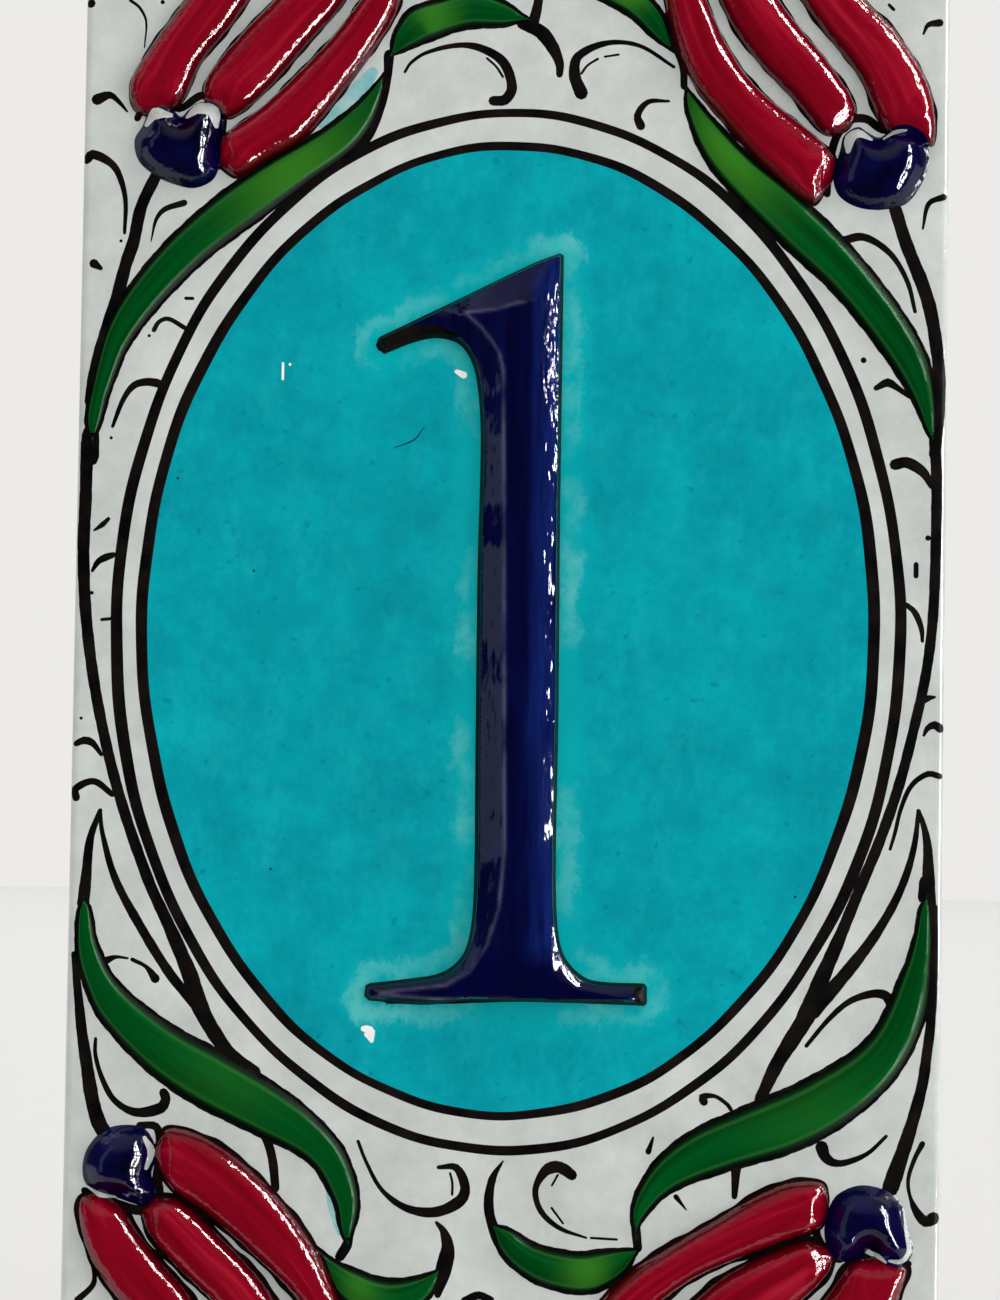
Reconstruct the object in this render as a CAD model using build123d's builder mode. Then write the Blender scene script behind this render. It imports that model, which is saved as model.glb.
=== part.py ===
"""House number plaque: a pressed relief tile with a raised numeral 1 and four corner tulips.

Millimetres. X runs to the right, Z up, and the front faces -Y. The origin is the centre of
the flat back. Corner motifs are placed by their distance from the nearest side and end.
"""

import math
import os

from build123d import *

# Tile body
tile_width = 75.0
tile_height = 150.0
body_thickness = 7.0
arris_radius = 0.7

# Keying grooves pressed into the back
groove_count = 4
groove_pitch = 15.0
groove_width = 6.0
groove_depth = 0.7
groove_end_margin = 9.0

# Relief: how far each motif stands out, and how deep its foot is rooted in the body
petal_crown = 1.8
petal_roundness = 1.4
petal_base_width = 3.8
leaf_crown = 1.1
leaf_roundness = 0.8
point_draw = 2.5
PETAL_ANGLES = (0, 20, 40, 60, 90)
LEAF_ANGLES = (0, 50, 90)
calyx_crown = 2.2
lobe_crown = 1.7
root_depth = 0.3

# Numeral, measured from the middle of the tile
numeral_foot = -32.1
numeral_top = 32.4
stem_left = -2.85
stem_right = 4.25
serif_left = -12.0
serif_right = 12.2
serif_thickness = 1.85
bracket_reach = 3.6
bracket_rise = 5.2
flag_tip_x = -11.7
flag_tip_z = 24.9
flag_tip_width = 1.5
flag_throat_x = -5.6
flag_throat_rise = 0.2
flag_throat_drop = 5.6
numeral_wall = 1.0
numeral_arris = 0.5
numeral_crown = 2.3
bevel_left = 2.0
bevel_right = 1.1
bevel_top = 2.6
bevel_foot = 1.0
crown_flag_reach = 4.4

# Corner motifs, as (distance from the side, distance from the end).
# A petal has its width, how far it bows to the left on its way, its base and its tip.
# A leaf has the points of its two sides, which meet at both ends.
# A calyx has the radius and centre of its cup, then of its lobes.
TOP_LEFT = {
    "side": -1,
    "end": 1,
    "petals": (
        (5.1, 0.7, (6.1, 30.4), (16.1, 12.8)),
        (5.0, -0.4, (11.5, 30.6), (23.5, 13.4)),
        (4.3, -2.7, (12.1, 35.4), (27.2, 14.4)),
    ),
    "calyx": ((3.5, (8.2, 34.2)), (2.1, (6.5, 32.8)), (2.1, (10.0, 32.4))),
    "leaves": (
        (
            ((25.8, 27.8), (20.4, 32.3), (10.8, 38.5), (3.2, 47.5), (1.1, 58.8)),
            ((25.8, 27.8), (22.8, 34.0), (13.5, 41.4), (5.2, 50.0), (1.1, 58.8)),
        ),
        (
            ((26.3, 24.8), (28.9, 21.1), (33.5, 19.9), (38.7, 22.4)),
            ((26.3, 24.8), (28.8, 24.7), (34.0, 23.0), (38.7, 22.4)),
        ),
    ),
}
TOP_RIGHT = {
    "side": 1,
    "end": 1,
    "petals": (
        (4.5, 3.6, (9.9, 36.2), (25.0, 12.2)),
        (4.8, 1.2, (9.5, 30.8), (21.2, 12.8)),
        (5.3, -1.3, (3.5, 31.8), (15.8, 12.8)),
    ),
    "calyx": ((3.7, (6.2, 35.2)), (2.2, (8.2, 33.2)), (2.2, (4.3, 33.6))),
    "leaves": (
        (
            ((23.0, 27.8), (19.8, 31.8), (11.0, 39.7), (2.4, 49.4), (0.8, 61.8)),
            ((23.0, 27.8), (21.6, 33.8), (13.5, 42.5), (4.6, 52.6), (0.8, 61.8)),
        ),
        (
            ((23.9, 24.8), (26.1, 23.4), (29.3, 20.9), (34.5, 17.6)),
            ((23.9, 24.8), (25.1, 21.4), (28.7, 18.0), (34.5, 17.6)),
        ),
    ),
}
BOTTOM_LEFT = {
    "side": -1,
    "end": -1,
    "petals": (
        (5.2, 2.8, (8.2, 29.8), (24.9, 10.8)),
        (4.6, 1.1, (7.2, 24.8), (20.5, 10.2)),
        (5.1, -1.0, (3.3, 25.8), (13.5, 10.2)),
    ),
    "calyx": ((3.4, (4.9, 28.9)), (2.1, (6.4, 30.0)), (2.1, (6.3, 26.7))),
    "leaves": (
        (
            ((1.2, 51.5), (4.4, 44.4), (13.5, 38.4), (22.9, 31.8), (24.8, 21.6)),
            ((1.2, 51.5), (2.0, 42.2), (11.4, 33.6), (20.5, 29.0), (24.8, 21.6)),
        ),
        (
            ((23.7, 20.4), (26.5, 19.7), (29.5, 19.3), (32.9, 19.8)),
            ((23.7, 20.4), (26.0, 16.6), (30.0, 16.0), (32.9, 19.8)),
        ),
    ),
}
BOTTOM_RIGHT = {
    "side": 1,
    "end": -1,
    "petals": (
        (4.4, -2.7, (9.7, 26.0), (31.3, 11.4)),
        (4.4, -1.5, (9.5, 21.4), (25.7, 9.4)),
        (5.0, 0.9, (5.1, 21.0), (15.9, 8.4)),
    ),
    "calyx": ((3.5, (6.1, 25.1)), (2.2, (7.6, 24.0)), (2.2, (4.6, 23.5))),
    "leaves": (
        (
            ((1.0, 53.5), (3.2, 44.5), (12.5, 36.6), (24.2, 30.1), (26.1, 22.7)),
            ((1.0, 53.5), (1.2, 42.5), (10.0, 31.8), (22.9, 26.9), (26.1, 22.7)),
        ),
        (
            ((38.4, 25.2), (35.7, 23.1), (31.2, 21.9), (25.7, 22.0)),
            ((38.4, 25.2), (36.0, 19.9), (31.1, 18.2), (25.7, 22.0)),
        ),
    ),
}
CORNERS = (TOP_LEFT, TOP_RIGHT, BOTTOM_LEFT, BOTTOM_RIGHT)

# Local x and y of this plane are the tile's X and Z, and its normal points out of the front
front_plane = Plane.XZ.offset(body_thickness)
root_plane = front_plane.offset(-root_depth)


def on_front(corner, place):
    """Point on the front given by its distances from a corner's side and end."""
    from_side, from_end = place
    x = corner["side"] * (tile_width / 2 - from_side)
    z = corner["end"] * (tile_height / 2 - from_end)
    return Vector(x, z)


def pillow(draw_outline, crown, roundness, angles):
    """A rounded lump: its outline is drawn in round a quarter circle on the way up to its crown."""
    steps = [(0, -root_depth)]
    for angle in angles:
        turn = math.radians(angle)
        steps.append((roundness * (1 - math.cos(turn)), crown - roundness * (1 - math.sin(turn))))
    with BuildPart() as lump:
        for inset, height in steps:
            with BuildSketch(front_plane.offset(height)):
                with BuildLine():
                    draw_outline(inset)
                make_face()
        loft(ruled=True)
    return lump.part


def petal(corner, width, bow, base, tip):
    """A petal between two arcs, from a blunt base to a pointed tip."""
    base = on_front(corner, base)
    tip = on_front(corner, tip)
    along = (tip - base).normalized()
    leftward = along.rotate(Axis.Z, 90)
    middle = (base + tip) / 2

    def outline(inset):
        point = tip - along * (point_draw * inset)
        shoulders = []
        for side in (1, -1):
            shoulder = base + along * inset + leftward * side * (petal_base_width / 2 - inset)
            ThreePointArc(shoulder, middle + leftward * (bow + side * (width / 2 - inset)), point)
            shoulders.append(shoulder)
        Line(*shoulders)

    return pillow(outline, petal_crown, petal_roundness, PETAL_ANGLES)


def leaf(corner, one_side, other_side):
    """A leaf pointed at both ends, each side one smooth curve from end to end."""
    sides = [[on_front(corner, place) for place in side] for side in (one_side, other_side)]

    def drawn_in(place, target, distance):
        return place + (target - place).normalized() * distance

    def outline(inset):
        midrib = [(one + other) / 2 for one, other in zip(*sides)]
        first_end = drawn_in(midrib[0], midrib[1], point_draw * inset)
        last_end = drawn_in(midrib[-1], midrib[-2], point_draw * inset)
        for side in sides:
            flank = [drawn_in(place, middle, inset) for place, middle in zip(side[1:-1], midrib[1:-1])]
            Spline(first_end, *flank, last_end)

    return pillow(outline, leaf_crown, leaf_roundness, LEAF_ANGLES)


def boss(centre, radius, crown):
    """A round domed lump of the calyx, with its flat foot inside the body."""
    foot = root_plane.from_local_coords(centre)
    with BuildPart() as dome:
        with BuildSketch(Plane(foot, x_dir=(1, 0, 0), z_dir=(0, 0, -1))):
            with BuildLine():
                top = (0, root_depth + crown)
                TangentArc(top, (radius, 0), tangent=(1, 0))
                Polyline((radius, 0), (0, 0), top)
            make_face()
        revolve(axis=Axis(foot, root_plane.z_dir))
    return dome.part


def under_top_edge(x, drop):
    """Height of the numeral's sloping top edge at x, lowered by a given drop."""
    slope = (numeral_top - flag_tip_z) / (stem_right - flag_tip_x)
    return numeral_top + slope * (x - stem_right) - drop


def numeral():
    """The numeral 1: a drafted wall on its whole outline, with a bevelled crown on the stem."""
    serif_top = numeral_foot + serif_thickness
    bracket_top = serif_top + bracket_rise
    throat = (flag_throat_x, flag_tip_z + flag_throat_rise)
    stem_join = (stem_left, throat[1] - flag_throat_drop)
    with BuildPart() as figure:
        with BuildSketch(root_plane):
            with BuildLine():
                Polyline(
                    (stem_left - bracket_reach, serif_top),
                    (serif_left, serif_top),
                    (serif_left, numeral_foot),
                    (serif_right, numeral_foot),
                    (serif_right, serif_top),
                    (stem_right + bracket_reach, serif_top),
                )
                Polyline(
                    (stem_right, bracket_top),
                    (stem_right, numeral_top),
                    (flag_tip_x, flag_tip_z),
                    (flag_tip_x, flag_tip_z - flag_tip_width),
                    throat,
                )
                Line(stem_join, (stem_left, bracket_top))
                TangentArc(stem_join, throat, tangent=(0, 1))
                TangentArc((stem_left, bracket_top), (stem_left - bracket_reach, serif_top), tangent=(0, -1))
                TangentArc((stem_right, bracket_top), (stem_right + bracket_reach, serif_top), tangent=(0, -1))
            make_face()
        extrude(amount=root_depth + numeral_wall)
        rim = figure.faces().sort_by(Axis.Y)[0]
        chamfer(rim.edges(), length=numeral_arris)
        for level, left, right, top, foot in (
            (numeral_wall, 0, 0, 0, 0),
            (numeral_crown, bevel_left, bevel_right, bevel_top, bevel_foot),
        ):
            with BuildSketch(front_plane.offset(level)):
                crown_left = stem_left + numeral_arris + left
                crown_right = stem_right - numeral_arris - right
                flag_end = crown_left - crown_flag_reach
                with BuildLine():
                    Polyline(
                        (crown_left, numeral_foot + numeral_arris + foot),
                        (crown_right, numeral_foot + numeral_arris + foot),
                        (crown_right, under_top_edge(crown_right, numeral_arris + top)),
                        (flag_end, under_top_edge(flag_end, numeral_arris + top)),
                        (crown_left, stem_join[1] + left),
                        close=True,
                    )
                make_face()
        loft(ruled=True)
    return figure.part


def tile_body():
    """The flat body with its rounded front arris and its keyed back."""
    with BuildPart() as body:
        with BuildSketch(Plane.XZ):
            Rectangle(tile_width, tile_height)
        extrude(amount=body_thickness)
        front = body.faces().sort_by(Axis.Y)[0]
        fillet(front.edges(), radius=arris_radius)
        with BuildSketch(Plane.XZ):
            with GridLocations(groove_pitch, 0, groove_count, 1):
                Rectangle(groove_width, tile_height - 2 * groove_end_margin)
        extrude(amount=groove_depth, mode=Mode.SUBTRACT)
    return body.part


with BuildPart() as plaque:
    add(tile_body())
    add(numeral())
    for corner in CORNERS:
        for shape in corner["petals"]:
            add(petal(corner, *shape))
        for shape in corner["leaves"]:
            add(leaf(corner, *shape))
        for (radius, centre), crown in zip(corner["calyx"], (calyx_crown, lobe_crown, lobe_crown)):
            add(boss(on_front(corner, centre), radius, crown))

plaque.part.label = "plaque"
os.makedirs("parts", exist_ok=True)
export_step(plaque.part, "parts/plaque.step")
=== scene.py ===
"""House number plaque: the glazed and painted relief tile, in a pale studio.

The front is drawn in millimetres from the middle of the tile, u to the right and v up. It is one
surface whose triangles follow every painted edge, raised by the relief of each motif.
"""

import math

import bmesh
import bpy
import numpy as np
from mathutils import Matrix, Vector
from mathutils.geometry import delaunay_2d_cdt


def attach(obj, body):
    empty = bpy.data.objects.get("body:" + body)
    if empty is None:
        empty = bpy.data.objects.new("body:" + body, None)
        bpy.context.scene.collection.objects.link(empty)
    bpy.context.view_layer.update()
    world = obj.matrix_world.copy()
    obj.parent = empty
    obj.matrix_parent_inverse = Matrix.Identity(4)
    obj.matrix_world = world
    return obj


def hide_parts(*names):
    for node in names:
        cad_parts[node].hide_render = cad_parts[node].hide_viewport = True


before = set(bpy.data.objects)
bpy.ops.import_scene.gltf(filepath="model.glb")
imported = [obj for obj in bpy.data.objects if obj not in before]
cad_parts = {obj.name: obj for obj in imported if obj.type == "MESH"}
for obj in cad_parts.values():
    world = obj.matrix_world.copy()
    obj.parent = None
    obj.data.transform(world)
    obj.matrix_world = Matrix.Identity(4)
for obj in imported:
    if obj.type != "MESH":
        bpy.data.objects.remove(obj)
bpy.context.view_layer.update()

MM = 0.001

# Tile body, as in the CAD part
TILE_WIDTH = 75.0
TILE_HEIGHT = 150.0
TILE_HALF = np.array([TILE_WIDTH, TILE_HEIGHT]) / 2
CORNERS = ((1, 1), (-1, 1), (-1, -1), (1, -1))
BODY_THICKNESS = 7.0
ARRIS_RADIUS = 0.7
PLAN_CORNER_RADIUS = 1.0
GLAZE_RUN = 2.4
GROOVE_CENTRES = (-22.5, -7.5, 7.5, 22.5)
GROOVE_WIDTH = 6.0
GROOVE_LENGTH = 132.0
GROOVE_DEPTH = 0.7
GROOVE_DRAFT = 0.5

# Relief heights above the front; a swell is the width at full height, then flatness and roundness across
PETAL_CROWN = 1.8
PETAL_SWELL = (3.4, 2.3, 0.56)
LEAF_CROWN = 0.85
LEAF_SWELL = (3.0, 2.4, 1.0)
NARROWING = 0.8
CALYX_CROWN = 2.2
CALYX_ROUNDING = 2.8

# Numeral: heights of its crown and, by v, of its walls, its lower serifs, and where it is rounded
NUMERAL_CROWN = 2.3
NUMERAL_FOOT_WIDTH = 0.35
NUMERAL_LEFT_WALL = (
    (-29.0, 1.7), (-26.0, 1.4), (-20.2, 1.0), (-19.2, 0.64), (-17.6, 0.66), (-16.3, 0.85), (-15.0, 0.67),
    (-6.0, 0.72), (-4.5, 0.95), (-2.5, 0.95), (-1.0, 0.78), (6.4, 0.88), (7.4, 1.2), (10.4, 1.2),
    (11.4, 0.97), (15.6, 1.02), (16.6, 1.25), (19.5, 1.25), (20.4, 1.05),
)
NUMERAL_RIGHT_WALL = (
    (-29.5, 1.47), (-27.5, 1.44), (-25.0, 1.55), (-19.5, 1.55), (-18.0, 1.26), (-11.0, 1.28), (-9.0, 1.47),
    (17.0, 1.45), (20.5, 1.1),
)
SERIF_DROP = 0.35
SERIF_START = 4.0
SERIF_BLEND = 4.0
ROUND_SHARE = 0.45
ROUND_RIGHT_OF = 0.5
ROUND_BELOW = -28.0
ROUND_BLEND = 1.5

# Mesh spacing
OUTLINE_STEP = 0.3
STROKE_STEP = 0.4
RING_STEP = 0.7
RIM_STEP = 1.5
CORNER_POINTS = 6
ARRIS_ANGLES = (0, 18, 36, 54, 72)
DOT_SIDES = 8
ROW_PITCH = 0.866
RELIEF_STEP = 0.26
RELIEF_MARGIN = 0.4 * RELIEF_STEP
HALO_STEP = 0.5
HALO_MARGIN = 0.3
HALO_REACH = 3.5
HALO_FIELD = (16.0, 37.0)
GROUND_STEP = 1.5
GROUND_MARGIN = 1.0
BACK_STEP = 6.0
BACK_MARGIN = 2.0
MERGE_DISTANCE = 0.0001
WELD_DISTANCE = 0.002
SHARP_ANGLE = 42.0

# Painted edges, and how far the brush strays from them; a wave is its share, speed and start
PETAL_LINE = 0.07
LOWER_PETAL_LINE = 0.25
LEAF_LINE = 0.25
LEAF_OVERLAP = 0.02
BLACK_FOOT_SHARE = 0.8
PAINT_MARGIN = 0.06
FADE_LENGTH = 3.0
WOBBLE = 0.025
LEAF_WOBBLE = 0.04
PETAL_WOBBLE = 0.07
PETAL_PACE = 0.3
RING_WOBBLE = 0.04
STRAY_START = (7.3, 3.1)
STRAY_WAVES = ((1.0, 2.1, 0.0), (0.7, 4.7, 1.0), (0.5, 9.1, 2.0))

# Marks in the glazes: streaks, leaf patches, the numeral's painted ridge highlight, painted sheen and brush
# marks
STREAKS_ALONG = 0.02
STREAKS_APART = 3.7
PATCH_LENGTH = 0.13
RIDGE_LINE = 0.13
RIDGE_LEFT_OF = 1.2
PALE_RIGHT_OF = 0.9
PALE_ABOVE = -29.0
PALE_BLEND = 2.0
LEFT_PALENESS = 0.1
LEFT_BRUSH = 0.25
LOWER_BRUSH = -8.0
LOWER_BRUSH_LOSS = 0.75

# Unevenness: ripples and fine marks per metre, and the depth of the bare clay's grain in metres
RIPPLES = 260.0
FINE_MARKS = 1500.0
BISCUIT_GRAIN = 0.00008

# Camera, in millimetres and degrees, then the window and the floor in metres
LENS = 96.5
SENSOR_WIDTH = 36.0
CAMERA_PLACE = (-0.81, -BODY_THICKNESS - 299.3, -15.73)
CAMERA_TILT = 2.645
CAMERA_ROLL = 0.858
WINDOW_PLACE = (0.64, -0.24, 0.1)
PANE_COLUMNS = ((0.62, -0.29), (0.66, -0.19))
PANE_ROWS = (-0.64, -0.42, -0.2, 0.02, 0.24, 0.46, 0.68)
PANE_SIZE = (0.05, 0.16)
PANE_RADIANCE = 60.0
FLOOR_HALF_WIDTH = 3.0
FLOOR_FRONT = -0.02
FLOOR_BACK = 2.2

# Oval field and its two ring lines, from the outside in: half width and half height
OVAL_CENTRE = (-0.15, 0.0)
OUTER_RING = ((34.23, 45.08), (33.22, 44.3))
INNER_RING = ((32.02, 42.15), (31.0, 41.4))

# Petals: base, tip, then the points of one side and of the other
PETALS = (
    ((-31.2, 43.8), (-21.4, 62.2),
     ((-33.1, 44.3), (-33.6, 46.7), (-32.0, 49.8), (-29.0, 54.1), (-25.0, 59.4)),
     ((-29.0, 45.2), (-27.3, 48.7), (-24.7, 52.1), (-22.4, 55.9), (-21.3, 59.5))),
    ((-26.0, 44.2), (-14.0, 61.6),
     ((-27.3, 45.8), (-26.7, 47.8), (-23.9, 51.4), (-21.3, 54.2), (-17.2, 58.9)),
     ((-24.7, 43.8), (-22.0, 45.9), (-18.0, 50.6), (-15.1, 54.1), (-13.7, 58.2))),
    ((-25.9, 39.8), (-10.3, 60.6),
     ((-25.7, 41.9), (-22.0, 45.0), (-18.7, 48.3), (-16.0, 51.3), (-13.9, 54.2), (-11.7, 57.8)),
     ((-24.2, 38.7), (-21.6, 40.2), (-18.4, 42.2), (-14.8, 46.6), (-11.9, 50.8), (-10.4, 53.7),
      (-9.8, 57.3))),
    ((27.3, 39.0), (12.5, 62.8),
     ((25.6, 37.1), (22.0, 39.7), (18.0, 43.9), (15.1, 47.5), (13.1, 52.6), (12.2, 57.8)),
     ((27.6, 41.0), (25.5, 43.3), (20.7, 47.3), (18.0, 51.1), (16.4, 54.6), (14.2, 59.2))),
    ((28.6, 43.5), (16.3, 62.2),
     ((26.7, 43.1), (24.0, 46.0), (20.0, 50.3), (17.6, 54.2), (16.3, 58.6)),
     ((29.4, 45.4), (27.3, 49.0), (24.0, 53.0), (20.9, 57.2), (18.3, 60.4))),
    ((34.2, 42.8), (21.7, 62.2),
     ((31.8, 43.7), (29.6, 48.1), (26.0, 52.7), (23.4, 56.6), (22.0, 60.0)),
     ((36.1, 42.4), (35.7, 47.4), (32.9, 52.1), (30.3, 54.7), (26.0, 59.2))),
    ((-29.8, -45.2), (-12.6, -64.2),
     ((-28.6, -43.2), (-25.4, -43.9), (-21.5, -46.5), (-17.6, -50.6), (-14.8, -55.0), (-13.0, -59.8)),
     ((-29.1, -47.0), (-28.0, -48.5), (-25.1, -50.5), (-21.2, -53.8), (-18.0, -56.8), (-14.8, -60.8))),
    ((-30.8, -50.2), (-17.0, -64.8),
     ((-29.4, -49.1), (-27.4, -49.3), (-23.8, -52.4), (-20.1, -56.2), (-17.8, -60.4)),
     ((-30.2, -51.9), (-28.5, -54.1), (-24.7, -57.7), (-20.6, -61.8))),
    ((-34.2, -48.7), (-24.0, -64.8),
     ((-32.4, -49.9), (-31.0, -51.9), (-29.0, -54.4), (-26.2, -57.6), (-24.5, -61.2)),
     ((-35.9, -49.2), (-36.0, -51.3), (-34.9, -54.5), (-32.5, -57.9), (-28.2, -62.3))),
    ((28.0, -49.0), (6.2, -63.6),
     ((27.5, -47.1), (25.0, -46.9), (22.2, -47.9), (18.0, -50.4), (14.0, -52.8), (11.2, -54.7),
      (8.0, -58.2)),
     ((27.3, -50.8), (25.0, -51.8), (20.8, -53.4), (16.8, -55.2), (14.0, -57.2), (9.8, -60.8))),
    ((28.6, -52.9), (11.8, -65.6),
     ((26.2, -51.9), (23.6, -52.7), (20.8, -54.0), (18.0, -55.8), (14.4, -59.6)),
     ((28.1, -54.5), (26.7, -56.2), (24.0, -58.6), (20.4, -61.4), (16.0, -64.2))),
    ((32.0, -53.2), (21.6, -66.6),
     ((29.9, -53.7), (28.1, -56.2), (25.2, -59.8), (22.6, -63.6)),
     ((34.6, -54.0), (34.3, -55.9), (33.0, -59.4), (29.4, -63.4), (25.2, -65.9))),
)

# Leaves, by the outside of their dark edges: both ends, the points of one side and of the other, and
# their yellower patch, as its place from the first end and its strength
LEAVES = (
    ((-11.4, 48.3), (-36.2, 15.4),
     ((-12.2, 47.4), (-13.8, 45.6), (-16.9, 43.1), (-22.3, 39.8), (-26.7, 36.5), (-31.3, 31.9),
      (-35.0, 26.3), (-36.7, 19.6), (-36.9, 17.0)),
     ((-11.6, 46.0), (-12.5, 43.3), (-14.4, 40.9), (-18.2, 38.0), (-21.9, 35.1), (-27.3, 30.8),
      (-32.7, 24.5), (-34.7, 19.7), (-35.4, 17.0)),
     (0.27, 0.55)),
    ((-11.2, 49.3), (1.2, 52.8),
     ((-10.9, 51.6), (-9.5, 53.7), (-6.7, 54.7), (-4.0, 55.3), (-1.2, 54.5)),
     ((-8.7, 50.3), (-4.7, 51.8), (-1.4, 52.1)),
     (0.4, 0.5)),
    ((14.4, 47.6), (36.5, 16.0),
     ((16.7, 44.9), (20.4, 41.2), (24.0, 38.4), (28.2, 34.5), (32.9, 28.9), (35.8, 24.0), (36.6, 19.5)),
     ((14.5, 45.0), (16.0, 41.1), (18.4, 38.0), (23.1, 33.3), (27.3, 29.5), (31.3, 24.7), (34.2, 20.4),
      (35.5, 17.6)),
     (0.18, 0.6)),
    ((13.7, 50.0), (3.0, 57.4),
     ((12.5, 53.8), (9.7, 56.4), (6.2, 57.8)),
     ((12.0, 51.0), (9.3, 53.3), (6.5, 54.8)),
     (0.5, 0.6)),
    ((-36.2, -23.4), (-12.9, -53.4),
     ((-35.5, -24.4), (-34.8, -27.4), (-33.1, -30.6), (-28.7, -34.1), (-24.0, -36.6), (-19.0, -39.5),
      (-15.9, -41.9), (-13.3, -44.9), (-12.0, -49.2)),
     ((-36.8, -25.0), (-36.8, -28.6), (-36.0, -31.4), (-34.8, -33.9), (-31.0, -38.0), (-26.8, -41.0),
      (-21.2, -43.7), (-16.6, -46.0), (-14.4, -49.4), (-13.8, -51.8)),
     (0.5, 0.1)),
    ((-16.4, -52.4), (-4.9, -54.6),
     ((-14.4, -53.9), (-12.4, -54.8), (-9.6, -55.6), (-6.8, -55.3)),
     ((-15.4, -55.2), (-13.6, -57.6), (-11.2, -59.0), (-8.0, -59.0), (-5.6, -57.0)),
     (0.45, 0.4)),
    ((36.2, -22.0), (11.5, -52.5),
     ((35.4, -23.4), (34.9, -25.9), (34.0, -28.7), (31.1, -34.5), (26.1, -38.0), (20.5, -40.6),
      (15.8, -42.9), (12.7, -45.7), (11.0, -49.4)),
     ((36.6, -24.0), (36.7, -27.8), (36.1, -33.0), (33.7, -38.0), (29.5, -42.0), (25.0, -44.5),
      (19.5, -46.2), (14.6, -48.1), (12.2, -50.5)),
     (0.5, 0.1)),
    ((-0.9, -50.9), (12.0, -52.8),
     ((0.8, -51.2), (2.9, -52.4), (6.3, -53.1), (9.5, -52.8)),
     ((-0.3, -53.2), (1.5, -55.1), (4.1, -56.4), (7.8, -56.8), (10.6, -55.2)),
     (0.65, 0.5)),
)

# Calyxes: the outline, and the white rims of its lobes as points, then widths along the stroke; one rim is a
# painted highlight
CALYXES = (
    (((-32.4, 43.1), (-32.0, 44.1), (-31.1, 44.6), (-29.9, 44.5), (-29.1, 43.9), (-28.5, 44.5),
      (-27.5, 45.2), (-26.1, 45.0), (-25.4, 44.0), (-25.5, 42.3), (-25.6, 40.3), (-26.2, 38.5),
      (-27.8, 37.7), (-29.6, 38.0), (-31.2, 38.7), (-32.7, 40.0), (-33.1, 41.8)),
     ((((-32.0, 43.1), (-31.3, 43.9), (-30.0, 43.9)), (0.5, 1.2, 0.5)),
      (((-28.5, 43.8), (-27.5, 44.5), (-26.3, 44.2), (-26.0, 43.0)), (0.4, 1.2, 1.2, 0.4)))),
    (((28.0, 41.9), (28.3, 43.1), (29.5, 43.9), (30.4, 43.4), (31.4, 43.0), (32.4, 43.7), (33.8, 43.9),
      (35.2, 43.1), (35.7, 41.4), (35.2, 39.3), (33.8, 37.3), (31.7, 36.7), (29.5, 36.9), (27.9, 37.9),
      (27.4, 39.6)),
     ((((28.6, 41.6), (28.8, 42.8), (29.5, 43.2), (30.6, 42.7)), (0.4, 0.9, 0.9, 0.3)),
      (((31.7, 42.8), (32.5, 43.3), (33.6, 43.5)), (0.15, 0.35, 0.15)))),
    (((-35.8, -46.6), (-35.4, -45.0), (-34.1, -43.5), (-32.5, -43.0), (-30.7, -43.2), (-29.8, -44.3),
      (-29.5, -45.7), (-29.9, -47.1), (-29.5, -48.7), (-30.4, -49.8), (-31.6, -49.6), (-32.8, -49.2),
      (-34.2, -49.0), (-35.5, -48.0)),
     # The rim at this calyx's right is a painted highlight
     ((((-30.5, -44.0), (-29.9, -45.2), (-30.3, -46.6)), (0.3, 0.6, 0.3)),
      (((-35.3, -48.3), (-34.2, -48.9), (-32.9, -49.1)), (0.2, 0.4, 0.2)))),
    (((27.9, -49.4), (28.7, -48.0), (30.6, -47.2), (32.8, -47.6), (34.2, -48.8), (34.7, -50.7),
      (35.2, -52.6), (34.5, -53.9), (33.2, -53.9), (32.1, -53.3), (31.4, -52.6), (30.8, -53.3),
      (29.3, -53.7), (28.1, -53.0), (27.6, -51.3)),
     ((((34.5, -51.2), (34.8, -52.6), (34.2, -53.5), (33.1, -53.5)), (0.2, 0.5, 0.5, 0.2)),
      (((31.5, -52.8), (32.1, -53.1), (32.8, -53.6)), (0.2, 0.4, 0.2)))),
)

# Numeral: smooth runs that meet at corners, then the ridge round its crown
NUMERAL_RUNS = (
    ((-11.6, 25.0), (-5.2, 28.2), (1.8, 31.7), (3.9, 32.5)),
    ((4.2, 32.3), (4.2, 24.8), (4.2, 10.0), (4.3, -8.0), (4.25, -19.0), (4.4, -24.6), (4.9, -27.6),
     (6.0, -29.2), (7.6, -30.1), (12.0, -30.3)),
    ((12.2, -30.6), (12.2, -32.0)),
    ((12.0, -32.2), (5.0, -32.05), (-3.0, -32.05), (-7.0, -32.4), (-11.6, -32.1)),
    ((-12.0, -31.7), (-11.9, -30.8)),
    ((-11.5, -30.6), (-8.4, -30.2), (-5.4, -29.6), (-3.7, -28.2), (-3.0, -26.0), (-2.75, -22.0),
     (-2.8, -10.0), (-2.85, 5.0), (-2.75, 16.4), (-3.1, 20.9), (-3.7, 23.1), (-4.8, 24.5), (-6.6, 24.95),
     (-8.5, 24.6), (-11.2, 23.5)),
    ((-11.7, 24.0), (-11.8, 24.7)),
)
NUMERAL_RIDGE = (
    (-4.2, 26.9), (-2.6, 25.4), (-1.3, 23.6), (-0.9, 22.0), (-0.7, 12.0), (-0.4, -6.0), (-0.2, -19.0),
    (-0.6, -24.0), (-1.6, -27.2), (-3.0, -29.4), (-5.0, -30.6), (-10.6, -31.4), (-6.0, -31.8),
    (10.9, -31.6), (6.2, -30.9), (4.0, -29.9), (2.4, -28.0), (1.8, -24.0), (1.7, -8.0), (1.7, 20.0),
    (1.8, 27.9), (0.2, 27.8), (-1.7, 27.2),
)

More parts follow.
